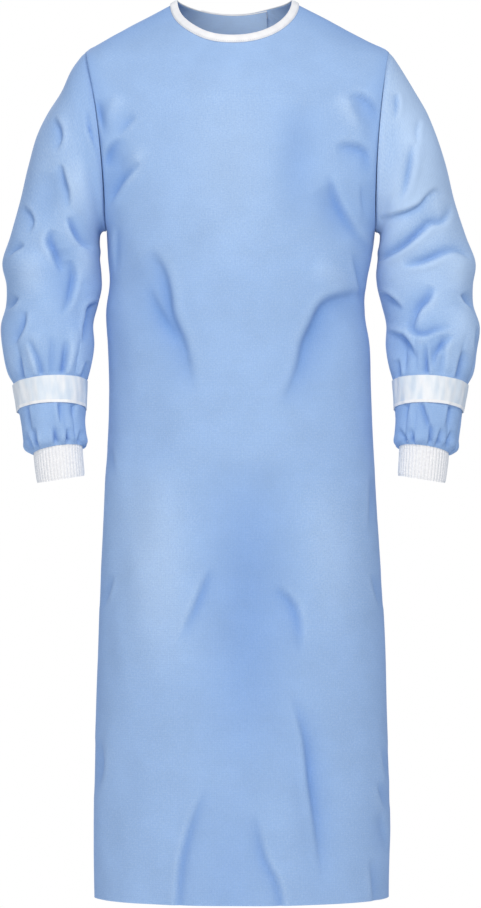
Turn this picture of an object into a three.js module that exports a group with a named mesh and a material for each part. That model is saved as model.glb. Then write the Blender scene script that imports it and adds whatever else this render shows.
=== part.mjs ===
// Back-opening surgical gown, filled out as it is when worn.
// Millimetres, +Z up, the front faces -Y. Left and right are as seen from the front, so right is +X.
// The origin lies between the shoulders at the height of the neck points, where the gown is held up.
import * as THREE from 'three';

const { lerp, smoothstep, degToRad } = THREE.MathUtils;
const { PI, cos, sin } = Math;

// Driving dimensions
const CLOTH = 1.2; // wall of the blue cloth
const TAPE = 1.2; // wall of the neck binding and of the sleeve bands
const KNIT = 1.6; // wall of the cuffs between their ribs
const SEAM_GAP = 0.3; // between the edges of two panels that are sewn together
const ARMHOLE_GAP = 0.7; // the same at the armhole, where the cloth turns sharply
const LAY_GAP = 0.9; // between the cloth and a strip sewn onto it
const HEM_Z = -1253;
const UNDERARM_Z = -323;
const SHOULDER_Z = -70;
const SHOULDER_X = { left: 216, right: 207 };
const NECK_X = { left: 89, right: 72 };
const ARMHOLE_DEPTH = { front: 78, back: 80 };
const ARMHOLE_BOW = 6; // how far the armhole seam curves in towards the chest
const EDGE_REACH = 1.4; // how fast the pull of an armhole edge fades into its panel
const SHOULDER_CURVE = 1.5; // how a panel curves down from a shoulder seam, 1 as in an ellipse
const NECK_CURVE = { front: 1, back: 1.6 }; // the same along the neckline
const BINDING_WIDTH = 10;
const LAP = 90; // how far the right back panel lies over the left one
const LAP_LIFT = 5; // how far it stands off the left one there
const LAP_EASE = 32; // the width over which it rises to that
const CUFF_TUCK = 5; // how far a cuff goes up inside the sleeve's end
const RIB_COUNT = 40;
const RIB_HEIGHT = 0.9;
const GATHER_COUNT = 12; // folds that the band and the cuff draw a sleeve into
const FOLD_END = 0.15; // of half a turn, how far into its rise a fold starts and ends
const SEAM_HOLD = 26; // folds die out over this distance from a seam
const RELAX_HOLD = 130; // the panels keep their sections' form over this distance from a seam

// How finely the pieces are divided
const SKIRT_ROWS = 17;
const ROW_CROWDING = 0.4; // towards the waist and the hem, where the folds are
const ARMHOLE_ROWS = 16;
const SHOULDER_ROWS = 5;
const FRONT_COLUMNS = 24;
const BACK_COLUMNS = 11;
const FOLD_STEPS = 14;
const RELAX_PASSES = 20;
const RELAX_SHARE = 0.5; // of the way to the mean, in each pass
const SAME_PLACE = 0.02; // points nearer than this are one place of a seam

const BLUE = { color: 0x9fbee6, roughness: 0.85, metalness: 0 };
const SATIN = { color: 0xe9eff4, roughness: 0.4, metalness: 0 };
const WHITE = { color: 0xf2f1f0, roughness: 0.9, metalness: 0 };

const SIDES = ['left', 'right'];
const SIGN = { left: -1, right: 1 };

// A table with named columns, a row for each section
function table(names, rows) {
  const columns = names.split(' ');
  return rows.map((row) => Object.fromEntries(columns.map((name, i) => [name, row[i]])));
}

// The body from the hem to the underarm: the reach of each side, the depth of front and back
const BODY = table('z left right front back', [
  [-1253, 204, 208, 152, 150],
  [-1119, 205, 209, 150, 148],
  [-979, 201, 204, 146, 144],
  [-839, 197, 198, 140, 138],
  [-699, 191, 191, 134, 132],
  [-559, 183, 183, 128, 124],
  [-489, 184, 181, 126, 120],
  [-433, 187, 174, 126, 116],
  [-391, 183, 177, 126, 113],
  [-349, 187, 185, 126, 111],
  [-323, 188, 188, 125, 110],
]);

// The middle of the front and of the back, up the armhole and on along the shoulder to the neck
const CHEST = table('v front frontZ back backZ', [
  [1.0, 125, -323, 110, -323],
  [1.5, 120, -228, 109, -205],
  [2.0, 108, -138, 98, -98],
  [2.5, 91, -93, 82, -52],
  [3.0, 72, -56, 62, -15],
]);

// The sections of a sleeve from the armhole down: the reach and height of its outer and inner
// edge, its half depth, how far back its middle lies, the lean of the section towards the front
// in degrees, and the height of the gathers
const SLEEVE = table('leftOut rightOut outZ leftIn rightIn inZ depth midY lean gather', [
  [237, 225, -97, 193, 193, -324, 80, 0, 0, 0],
  [251, 243, -125, 196, 196, -328, 82, 1, 0, 0],
  [269, 261, -155, 197, 196, -334, 82, 2, 0, 0],
  [285, 274, -189, 197, 195, -342, 80, 3, 0, 0],
  [296, 287, -230, 196, 193, -351, 78, 4, 0, 0],
  [307, 299, -279, 197, 193, -361, 75, 5, 0, 0],
  [322, 316, -328, 196, 192, -371, 73, 6, 0, 0],
  [334, 330, -366, 195, 191, -384, 71, 6, 2, 0],
  [328, 326, -398, 195, 193, -402, 67, 4, 5, 0],
  [328, 326, -427, 200, 199, -424, 65, -1, 8, 0],
  [335, 334, -458, 207, 206, -452, 63, -7, 10, 0],
  [331, 329, -489, 207, 206, -483, 60, -13, 12, 1],
  [322, 322, -521, 213, 211, -513, 54, -20, 13, 3],
  [315, 315, -539, 216, 214, -533, 48, -25, 13, 0.4],
  [312, 312, -557, 216, 215, -552, 47, -29, 13, 0.4],
  [309, 308, -575, 217, 216, -571, 46, -33, 13, 0.4],
  [304, 304, -595, 219, 218, -589, 45, -38, 13, 2.6],
  [301, 301, -614, 217, 217, -607, 43, -42, 13, 3],
  [298, 299, -626, 216, 217, -618, 40, -45, 13, 3],
  [288, 290, -634, 219, 220, -624, 33, -47, 13, 0],
]);
const BAND_SECTIONS = [14, 15, 16]; // the sleeve's rows that its band lies on

// The sections of a cuff, from the sleeve's end down
const CUFF = table('leftOut rightOut outZ leftIn rightIn inZ depth midY lean', [
  [286.8, 288.8, -634, 220.2, 221.2, -624, 31.8, -47, 13],
  [282, 284, -674, 217, 219, -664, 30, -55, 0],
]);

// The largest folds as the front view shows them: a trough of some half width and depth along a
// curve from one place, bent towards a second, to a third. A negative depth is a ridge
const FOLD_COLUMNS = 'name fromX fromZ viaX viaZ toX toZ width depth';
const FRONT_FOLDS = table(FOLD_COLUMNS, [
  ['left waist', -123, -363, -105, -408, -65, -538, 24, 15],
  ['right waist', 150, -421, 88, -430, 64, -562, 24, 15],
  ['between thighs', 10, -640, 16, -780, 4, -1000, 62, 10],
  ['left thigh', -120, -640, -112, -780, -98, -960, 48, -7],
  ['right thigh', 112, -660, 120, -780, 132, -900, 44, -6],
  ['left hem', -52, -1107, -87, -1168, -86, -1275, 26, 13],
  ['middle hem', 24, -1110, 30, -1197, 57, -1275, 26, 12],
  ['right hem', 76, -978, 98, -1086, 120, -1275, 34, 13],
]);
const BACK_FOLDS = table(FOLD_COLUMNS, [
  ['left blade', -130, -330, -96, -420, -84, -560, 28, 9],
  ['right blade', 130, -350, 110, -450, 112, -600, 28, 9],
  ['left hem', -96, -960, -112, -1100, -116, -1275, 34, 11],
  ['right hem', 118, -1000, 122, -1130, 134, -1275, 30, 10],
]);
const SLEEVE_FOLDS = {
  left: {
    front: table(FOLD_COLUMNS, [
      ['inner elbow', -236, -312, -214, -338, -196, -352, 15, 8],
      ['elbow', -266, -322, -258, -346, -246, -376, 14, 8],
      ['below elbow', -226, -382, -236, -420, -248, -440, 14, 7],
      ['forearm', -198, -430, -210, -452, -214, -478, 12, 6],
    ]),
    back: table(FOLD_COLUMNS, [
      ['elbow', -300, -330, -270, -352, -236, -350, 16, 8],
      ['below elbow', -300, -420, -264, -402, -232, -420, 15, 8],
    ]),
  },
  right: {
    front: table(FOLD_COLUMNS, [
      ['upper arm', 204, -352, 246, -338, 276, -300, 15, 9],
      ['elbow', 256, -370, 288, -360, 304, -345, 13, 7],
      ['below elbow', 198, -405, 216, -414, 232, -440, 14, 8],
      ['forearm', 206, -458, 232, -470, 240, -500, 13, 7],
    ]),
    back: table(FOLD_COLUMNS, [
      ['elbow', 296, -340, 262, -360, 226, -346, 16, 8],
      ['below elbow', 296, -430, 262, -412, 224, -430, 15, 8],
    ]),
  },
};

function evenly(from, to, count) {
  return Array.from({ length: count + 1 }, (_, i) => lerp(from, to, i / count));
}

// A column of a table at any place between its rows, on a smooth curve through them
function between(rows, key, place, column) {
  const last = rows.length - 1;
  let i = 0;
  while (i < last - 1 && place > rows[i + 1][key]) i += 1;
  const [a, b] = [rows[i], rows[i + 1]];
  const slope = (p, q) => (q[column] - p[column]) / (q[key] - p[key]);
  const span = b[key] - a[key];
  const t = (place - a[key]) / span;
  const start = i > 0 ? (slope(rows[i - 1], a) + slope(a, b)) / 2 : slope(a, b);
  const end = i < last - 1 ? (slope(a, b) + slope(b, rows[i + 2])) / 2 : slope(a, b);
  const rise = t * t * (3 - 2 * t);
  return lerp(a[column], b[column], rise) + span * t * (1 - t) * ((1 - t) * start - t * end);
}

// How deep the folds press in at a place of the front view
function foldDepth(folds, x, z) {
  let depth = 0;
  for (const fold of folds) {
    let nearest = Infinity;
    let nearestT = 0;
    for (const t of evenly(0, 1, FOLD_STEPS)) {
      const foldX = lerp(lerp(fold.fromX, fold.viaX, t), lerp(fold.viaX, fold.toX, t), t);
      const foldZ = lerp(lerp(fold.fromZ, fold.viaZ, t), lerp(fold.viaZ, fold.toZ, t), t);
      const away = Math.hypot(foldX - x, foldZ - z);
      if (away < nearest) [nearest, nearestT] = [away, t];
    }
    const taper = sin(PI * lerp(FOLD_END, 1 - FOLD_END, nearestT));
    depth += fold.depth * taper * Math.exp(-((nearest / fold.width) ** 2));
  }
  return depth;
}

// A place on the armhole seam by its angle, 0 at the shoulder and half a turn at the underarm
function armholePoint(side, angle) {
  const t = (1 - cos(angle)) / 2;
  const underarm = BODY[BODY.length - 1][side];
  const reach = lerp(SHOULDER_X[side], underarm, t) - ARMHOLE_BOW * sin(PI * t);
  const depth = sin(angle) > 0 ? ARMHOLE_DEPTH.front : ARMHOLE_DEPTH.back;
  return new THREE.Vector3(SIGN[side] * reach, -depth * sin(angle), lerp(SHOULDER_Z, UNDERARM_Z, t));
}

// The edge of a panel: v runs 0 to 1 up the side seam, to 2 up the armhole, to 3 along the shoulder
function panelEdge(face, side, v) {
  if (v <= 1) {
    const z = lerp(HEM_Z, UNDERARM_Z, v);
    return new THREE.Vector3(SIGN[side] * between(BODY, 'z', z, side), 0, z);
  }
  if (v <= 2) return armholePoint(side, (face === 'front' ? 1 : -1) * PI * (2 - v));
  const reach = lerp(SHOULDER_X[side], NECK_X[side], v - 2);
  return new THREE.Vector3(SIGN[side] * reach, 0, lerp(SHOULDER_Z, 0, v - 2));
}

// A point of the front or back, u running from -1 at its left edge to 1 at its right one
function panelPoint(face, u, v) {
  const out = face === 'front' ? -1 : 1;
  const [left, right] = SIDES.map((side) => panelEdge(face, side, v));
  const across = sin((PI / 2) * u);
  const arch = Math.sqrt(Math.max(0, 1 - across * across));
  const point = left.clone().lerp(right, (1 + across) / 2);
  const skirtZ = lerp(HEM_Z, UNDERARM_Z, v);
  const depth = v <= 1 ? between(BODY, 'z', skirtZ, face) : between(CHEST, 'v', v, face);
  point.y = out * depth * arch + point.y * (1 - arch) ** EDGE_REACH;
  if (v > 1) {
    const curve = lerp(SHOULDER_CURVE, NECK_CURVE[face], Math.max(0, v - 2));
    point.z += (between(CHEST, 'v', v, `${face}Z`) - left.z) * arch ** curve;
  }
  return point;
}

// How far a point of a panel's row lies from the row's nearest seam
function seamDistance(point, row, seamColumns) {
  return Math.min(...seamColumns.map((c) => point.distanceTo(row[c])));
}

// Evens out a panel's chest and shoulders from row to row, less and less towards its seams
function relaxChest(points, seamColumns) {
  for (let pass = 0; pass < RELAX_PASSES; pass += 1) {
    const before = points.map((row) => row.map((point) => point.clone()));
    for (let r = SKIRT_ROWS - 1; r < points.length - 1; r += 1) {
      points[r].forEach((point, c) => {
        const [below, above] = [before[r - 1][c], before[r + 1][c]];
        const share = point.distanceTo(below) / (point.distanceTo(below) + point.distanceTo(above));
        const free = smoothstep(seamDistance(point, before[r], seamColumns), 0, RELAX_HOLD);
        point.lerp(below.clone().lerp(above, share), RELAX_SHARE * free);
      });
    }
  }
}

// Presses the folds into a panel, less and less towards its seams
function foldPanel(points, folds, out, seamColumns) {
  for (const row of points) {
    const before = row.map((point) => point.clone());
    for (const point of row) {
      const free = smoothstep(seamDistance(point, before, seamColumns), 0, SEAM_HOLD);
      point.y -= out * foldDepth(folds, point.x, point.z) * free;
    }
  }
}

// A point of a tube's section by its angle, 0 at the outer edge and a quarter turn at the front
function sectionPoint(section, side, angle) {
  const t = (1 - cos(angle)) / 2;
  const forward = section.depth * sin(angle);
  const lean = degToRad(section.lean);
  return new THREE.Vector3(
    SIGN[side] * lerp(section[`${side}Out`], section[`${side}In`], t),
    section.midY - forward * cos(lean),
    lerp(section.outZ, section.inZ, t) + forward * sin(lean),
  );
}

// Moves a point of a section away from the section's middle
function moveOut(point, section, side, distance) {
  const middle = sectionPoint(section, side, 0).lerp(sectionPoint(section, side, PI), 0.5);
  return point.addScaledVector(point.clone().sub(middle).normalize(), distance);
}

function gridOf(rows, columns, pointAt) {
  return rows.map((row) => columns.map((column) => pointAt(column, row)));
}

// A sheet of cloth: a grid of points and its outward normals. Seen from outside, a row runs from
// left to right where the rows go up, and from right to left where they go down
function sheet(points, closed) {
  const [lastRow, width] = [points.length - 1, points[0].length];
  const column = (c) => (closed ? (c + width) % width : THREE.MathUtils.clamp(c, 0, width - 1));
  const normals = points.map((row, r) => row.map((_, c) => {
    const along = row[column(c + 1)].clone().sub(row[column(c - 1)]);
    const up = points[Math.min(r + 1, lastRow)][c].clone().sub(points[Math.max(r - 1, 0)][c]);
    return along.cross(up).normalize();
  }));
  return { points, normals, closed };
}

// Sheets that meet along a seam get one common normal at each of its points
function shareNormals(sheets) {
  const sums = new Map();
  const eachPoint = (visit) => {
    for (const { points, normals } of sheets) {
      const flatNormals = normals.flat();
      points.flat().forEach((point, i) => {
        const place = point.toArray().map((value) => Math.round(value / SAME_PLACE)).join();
        visit(place, flatNormals[i]);
      });
    }
  };
  eachPoint((place, normal) => {
    if (!sums.has(place)) sums.set(place, new THREE.Vector3());
    sums.get(place).add(normal);
  });
  eachPoint((place, normal) => normal.copy(sums.get(place)).normalize());
}

// Draws an edge of a sheet back from its seam
function drawBack(edge, beside, distance) {
  const last = edge.length - 1;
  const moved = edge.map((point, i) => {
    const tangent = edge[Math.min(i + 1, last)].clone().sub(edge[Math.max(i - 1, 0)]).normalize();
    const inward = beside[i].clone().sub(point);
    inward.addScaledVector(tangent, -inward.dot(tangent)).normalize();
    return point.clone().addScaledVector(inward, distance);
  });
  edge.forEach((point, i) => point.copy(moved[i]));
}

// A closed wall of cloth on a sheet, with single points of its outer face raised
function clothWall({ points, normals, closed }, thickness, raised = () => 0) {
  const [rows, columns] = [points.length, points[0].length];
  const position = [];
  for (const face of [1, -1]) {
    points.forEach((row, r) => row.forEach((point, c) => {
      const out = face > 0 ? thickness / 2 + raised(c) : -thickness / 2;
      position.push(...point.clone().addScaledVector(normals[r][c], out).toArray());
    }));
  }
  const index = [];
  const quad = (a, b, c, d) => index.push(a, b, c, a, c, d);
  const outer = (r, c) => r * columns + (c % columns);
  const inner = (r, c) => rows * columns + outer(r, c);
  const top = rows - 1;
  for (let c = 0; c < (closed ? columns : columns - 1); c += 1) {
    for (let r = 0; r < top; r += 1) {
      quad(outer(r, c), outer(r, c + 1), outer(r + 1, c + 1), outer(r + 1, c));
      quad(inner(r + 1, c), inner(r + 1, c + 1), inner(r, c + 1), inner(r, c));
    }
    quad(inner(0, c), inner(0, c + 1), outer(0, c + 1), outer(0, c));
    quad(outer(top, c), outer(top, c + 1), inner(top, c + 1), inner(top, c));
  }
  if (!closed) {
    const end = columns - 1;
    for (let r = 0; r < top; r += 1) {
      quad(outer(r, 0), outer(r + 1, 0), inner(r + 1, 0), inner(r, 0));
      quad(inner(r, end), inner(r + 1, end), outer(r + 1, end), outer(r, end));
    }
  }
  const geometry = new THREE.BufferGeometry();
  geometry.setAttribute('position', new THREE.Float32BufferAttribute(position, 3));
  geometry.setIndex(index);
  geometry.computeVertexNormals();
  return geometry;
}

const panelRows = [
  ...evenly(0, 1, SKIRT_ROWS).map((v) => v - (ROW_CROWDING * sin(2 * PI * v)) / (2 * PI)),
  ...evenly(1, 2, ARMHOLE_ROWS).slice(1),
  ...evenly(2, 3, SHOULDER_ROWS).slice(1),
];

// The front panel, from seam to seam
function frontPanel() {
  const points = gridOf(panelRows, evenly(-1, 1, FRONT_COLUMNS), (u, v) => panelPoint('front', u, v));
  const seamColumns = [0, FRONT_COLUMNS];
  relaxChest(points, seamColumns);
  foldPanel(points, FRONT_FOLDS, -1, seamColumns);
  return sheet(points, false);
}

// A back panel, between its side seam and the far edge of the lap
function backPanel(side) {
  const acrossAt = (share, v) => {
    const width = panelEdge('back', 'left', v).distanceTo(panelEdge('back', 'right', v));
    const lapEdge = (-SIGN[side] * 2 * Math.asin(LAP / width)) / PI;
    return side === 'left' ? lerp(lapEdge, -1, share) : lerp(1, lapEdge, share);
  };
  const points = gridOf(panelRows, evenly(0, 1, BACK_COLUMNS), (share, v) => (
    panelPoint('back', acrossAt(share, v), v)
  ));
  const seamColumns = [side === 'left' ? BACK_COLUMNS : 0];
  relaxChest(points, seamColumns);
  foldPanel(points, BACK_FOLDS, 1, seamColumns);
  const panel = sheet(points, false);
  if (side === 'right') {
    points.forEach((row, r) => row.forEach((point, c) => {
      const v = panelRows[r];
      const middleX = panelEdge('back', 'left', v).lerp(panelEdge('back', 'right', v), 0.5).x;
      const lift = 1 - smoothstep(point.x - middleX, LAP / 2, LAP / 2 + LAP_EASE);
      point.addScaledVector(panel.normals[r][c], LAP_LIFT * lift);
    }));
  }
  return panel;
}

// The angles of a ring of columns, in the order that turns its sheet outwards
const ringAngles = (side, count) => evenly(0, SIGN[side] * 2 * PI, count).slice(0, count);

// A sleeve, from the armhole seam to the cuff seam
function sleeveTube(side) {
  const angles = ringAngles(side, 2 * ARMHOLE_ROWS);
  const rings = gridOf(SLEEVE, angles, (angle, section) => {
    const point = sectionPoint(section, side, angle);
    const folds = SLEEVE_FOLDS[side][sin(angle) > 0 ? 'front' : 'back'];
    const hold = smoothstep(point.distanceTo(armholePoint(side, angle)), 0, SEAM_HOLD);
    point.y += foldDepth(folds, point.x, point.z) * sin(angle) * hold;
    return moveOut(point, section, side, section.gather * cos(GATHER_COUNT * angle));
  });
  return sheet([angles.map((angle) => armholePoint(side, angle)), ...rings], true);
}

// A cuff, with its outer face on the table's sections
function cuffTube(side) {
  const tuck = { ...CUFF[0], outZ: CUFF[0].outZ + CUFF_TUCK, inZ: CUFF[0].inZ + CUFF_TUCK };
  return sheet(gridOf([tuck, ...CUFF], ringAngles(side, 2 * RIB_COUNT), (angle, section) => (
    moveOut(sectionPoint(section, side, angle), section, side, -KNIT / 2 - RIB_HEIGHT)
  )), true);
}

// A strip on the outside of the cloth, made from the cloth's points moved out
function layOn(points, normals, closed) {
  const distance = CLOTH / 2 + LAY_GAP + TAPE / 2;
  const moved = points.map((row, r) => row.map((point, c) => (
    point.clone().addScaledVector(normals[r][c], distance)
  )));
  return { points: moved, normals, closed };
}

// The band of a sleeve
function sleeveBand({ points, normals }) {
  return layOn(BAND_SECTIONS.map((r) => points[r]), BAND_SECTIONS.map((r) => normals[r]), true);
}

// The binding, from the left back's lapped edge round the front to the right back's
function neckBinding(backLeft, front, backRight) {
  const lower = { points: [], normals: [] };
  const upper = { points: [], normals: [] };
  const addColumns = ({ points, normals }, firstColumn, endColumn) => {
    const [edge, below] = [points.length - 1, points.length - 2];
    for (let c = firstColumn; c < endColumn; c += 1) {
      const share = BINDING_WIDTH / points[edge][c].distanceTo(points[below][c]);
      lower.points.push(points[edge][c].clone().lerp(points[below][c], share));
      lower.normals.push(normals[edge][c].clone().lerp(normals[below][c], share).normalize());
      upper.points.push(points[edge][c].clone());
      upper.normals.push(normals[edge][c]);
    }
  };
  addColumns(backLeft, 0, BACK_COLUMNS);
  addColumns(front, 0, FRONT_COLUMNS + 1);
  addColumns(backRight, 1, BACK_COLUMNS + 1);
  return layOn([lower.points, upper.points], [lower.normals, upper.normals], false);
}

const gown = new THREE.Group();
gown.name = 'surgical_gown';

function addPiece(name, cloth, thickness, material, raised) {
  const wall = clothWall(cloth, thickness, raised);
  const mesh = new THREE.Mesh(wall, new THREE.MeshStandardMaterial(material));
  mesh.name = name;
  gown.add(mesh);
}

const front = frontPanel();
const [backLeft, backRight] = SIDES.map(backPanel);
const [sleeveLeft, sleeveRight] = SIDES.map(sleeveTube);
shareNormals([front, backLeft, backRight, sleeveLeft, sleeveRight]);

addPiece('neck_binding', neckBinding(backLeft, front, backRight), TAPE, WHITE);

const columnOf = ({ points }, c) => points.map((row) => row.at(c));
const seams = [[front, 0, 1], [front, -1, -2], [backLeft, -1, -2], [backRight, 0, 1]];
for (const [panel, edge, beside] of seams) {
  drawBack(columnOf(panel, edge), columnOf(panel, beside), SEAM_GAP / 2);
}
for (const { points } of [sleeveLeft, sleeveRight]) {
  drawBack(points[0], points[1], ARMHOLE_GAP - SEAM_GAP / 2);
}

addPiece('front_panel', front, CLOTH, BLUE);
addPiece('back_left', backLeft, CLOTH, BLUE);
addPiece('back_right', backRight, CLOTH, BLUE);
addPiece('sleeve_left', sleeveLeft, CLOTH, BLUE);
addPiece('sleeve_right', sleeveRight, CLOTH, BLUE);
addPiece('sleeve_band_left', sleeveBand(sleeveLeft), TAPE, SATIN);
addPiece('sleeve_band_right', sleeveBand(sleeveRight), TAPE, SATIN);
for (const side of SIDES) {
  addPiece(`cuff_${side}`, cuffTube(side), KNIT, WHITE, (c) => (c % 2 === 0 ? RIB_HEIGHT : 0));
}

export default gown;
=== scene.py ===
"""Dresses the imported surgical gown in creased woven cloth, satin bands, knitted cuffs and a neck binding.

Sizes are in millimetres until a mesh is made. The front faces -Y, and left and right are as seen from the
front, so right is +X.
"""

import bpy
import numpy as np
from bpy.props import FloatProperty, FloatVectorProperty, IntProperty, PointerProperty
from bpy.types import Operator, Panel, PropertyGroup
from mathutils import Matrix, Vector


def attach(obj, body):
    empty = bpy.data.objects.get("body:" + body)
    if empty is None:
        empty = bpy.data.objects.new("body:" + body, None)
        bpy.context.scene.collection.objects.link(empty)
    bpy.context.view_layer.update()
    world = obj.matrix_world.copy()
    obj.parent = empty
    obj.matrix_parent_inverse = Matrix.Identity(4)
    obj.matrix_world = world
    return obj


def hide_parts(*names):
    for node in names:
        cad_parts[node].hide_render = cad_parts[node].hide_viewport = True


bl_info = {
    "name": "Surgical Gown Dresser",
    "version": (1, 0, 0),
    "blender": (4, 5, 0),
    "location": "View3D > Sidebar > Gown",
    "description": "Makes the gown's cloth, trim and studio in the frame of its solid model",
    "category": "Object",
}

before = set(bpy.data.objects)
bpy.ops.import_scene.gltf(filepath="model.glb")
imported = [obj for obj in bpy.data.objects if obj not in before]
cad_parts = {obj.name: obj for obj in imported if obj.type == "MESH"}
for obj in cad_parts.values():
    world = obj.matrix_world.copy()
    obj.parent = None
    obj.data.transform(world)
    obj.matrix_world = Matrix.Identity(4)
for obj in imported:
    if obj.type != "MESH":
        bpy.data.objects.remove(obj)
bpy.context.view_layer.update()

MM = 0.001
SIDES = ("left", "right")
SIGN = {"left": -1, "right": 1}
FACING = {"front": -1, "back": 1}


def table(names, *rows):
    """A table's columns by name, each as an array."""
    return dict(zip(names.split(), np.array(rows, dtype=float).T))


# The gown's form, the same as in the solid model

HEM_Z = -1253
UNDERARM_Z = -323
SHOULDER_Z = -70
SHOULDER_X = {"left": 216, "right": 207}
NECK_X = {"left": 89, "right": 72}
ARMHOLE_DEPTH = {"front": 78, "back": 80}
ARMHOLE_BOW = 6  # how far the armhole seam curves in towards the chest
EDGE_REACH = 1.4  # how fast the pull of an armhole edge fades into its panel
SHOULDER_CURVE = 1.5  # how a panel curves down from a shoulder seam, 1 as in an ellipse
NECK_CURVE = {"front": 1, "back": 1.6}  # the same along the neckline
LAP = 90  # how far the right back panel lies over the left one
LAP_LIFT = 5  # how far it stands off the left one there
LAP_EASE = 32  # the width over which it rises to that
RELAX_HOLD = 130  # the panels keep their sections' form over this distance from a seam
RELAX_PASSES = 20
CUFF_TUCK = 5  # how far a cuff goes up inside the sleeve's end
LAY_GAP = 0.9  # between the cloth and a strip sewn onto it

# The body from the hem to the underarm: the reach of each side, the depth of front and back
BODY = table(
    "z left right front back",
    (-1253, 204, 208, 152, 150),
    (-1119, 205, 209, 150, 148),
    (-979, 201, 204, 146, 144),
    (-839, 197, 198, 140, 138),
    (-699, 191, 191, 134, 132),
    (-559, 183, 183, 128, 124),
    (-489, 184, 181, 126, 120),
    (-433, 187, 174, 126, 116),
    (-391, 183, 177, 126, 113),
    (-349, 187, 185, 126, 111),
    (-323, 188, 188, 125, 110),
)

# The middle of the front and of the back, up the armhole and on along the shoulder to the neck
CHEST = table(
    "v front front_z back back_z",
    (1.0, 125, -323, 110, -323),
    (1.5, 120, -228, 109, -205),
    (2.0, 108, -138, 98, -98),
    (2.5, 91, -93, 82, -52),
    (3.0, 72, -56, 62, -15),
)

# The sections of a sleeve from the armhole down: the reach and height of its outer and inner edge, its half
# depth, how far back its middle lies, its lean towards the front in degrees, and the height of the gathers
SLEEVE = table(
    "left_out right_out out_z left_in right_in in_z depth mid_y lean gather",
    (237, 225, -97, 193, 193, -324, 80, 0, 0, 0),
    (251, 243, -125, 196, 196, -328, 82, 1, 0, 0),
    (269, 261, -155, 197, 196, -334, 82, 2, 0, 0),
    (285, 274, -189, 197, 195, -342, 80, 3, 0, 0),
    (296, 287, -230, 196, 193, -351, 78, 4, 0, 0),
    (307, 299, -279, 197, 193, -361, 75, 5, 0, 0),
    (322, 316, -328, 196, 192, -371, 73, 6, 0, 0),
    (334, 330, -366, 195, 191, -384, 71, 6, 2, 0),
    (328, 326, -398, 195, 193, -402, 67, 4, 5, 0),
    (328, 326, -427, 200, 199, -424, 65, -1, 8, 0),
    (335, 334, -458, 207, 206, -452, 63, -7, 10, 0),
    (331, 329, -489, 207, 206, -483, 60, -13, 12, 1),
    (322, 322, -521, 213, 211, -513, 54, -20, 13, 2.2),
    (315, 315, -539, 216, 214, -533, 48, -25, 13, 0.4),
    (312, 312, -557, 216, 215, -552, 47, -29, 13, 0.4),
    (309, 308, -575, 217, 216, -571, 46, -33, 13, 0.4),
    (304, 304, -595, 219, 218, -589, 45, -38, 13, 1.4),
    (301, 301, -614, 217, 217, -607, 43, -42, 13, 1.6),
    (298, 299, -626, 216, 217, -618, 40, -45, 13, 2.4),
    (288, 290, -634, 219, 220, -624, 33, -47, 13, 0),
)
BAND_SECTIONS = slice(13, 16)  # the sections that a sleeve's band lies on
BAND_RINGS = slice(14, 17)  # the same, counted with the armhole seam as the first ring
BAND_HOLD = 5  # creases die out over this distance from the band
END_HOLD = 8  # and over this distance from a sleeve's end

# The sections of a cuff, from the sleeve's end down
CUFF = table(
    "left_out right_out out_z left_in right_in in_z depth mid_y lean",
    (286.8, 288.8, -634 + CUFF_TUCK, 220.2, 221.2, -624 + CUFF_TUCK, 31.8, -47, 13),
    (286.8, 288.8, -634, 220.2, 221.2, -624, 31.8, -47, 13),
    (282, 284, -674, 217, 219, -664, 30, -55, 0),
)

# How finely the solid model divides its pieces, and the finer grids of cloth on them: rows, columns
SKIRT_ROWS = 17
ROW_CROWDING = 0.4
ARMHOLE_ROWS = 16
SHOULDER_ROWS = 5
FRONT_COLUMNS = 24
BACK_COLUMNS = 11
FRONT_GRID = (270, 160)
BACK_GRID = (200, 84)
SLEEVE_GRID = (216, 200)
BAND_GRID = (18, 160)
CUFF_GRID = (28, 320)

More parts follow.
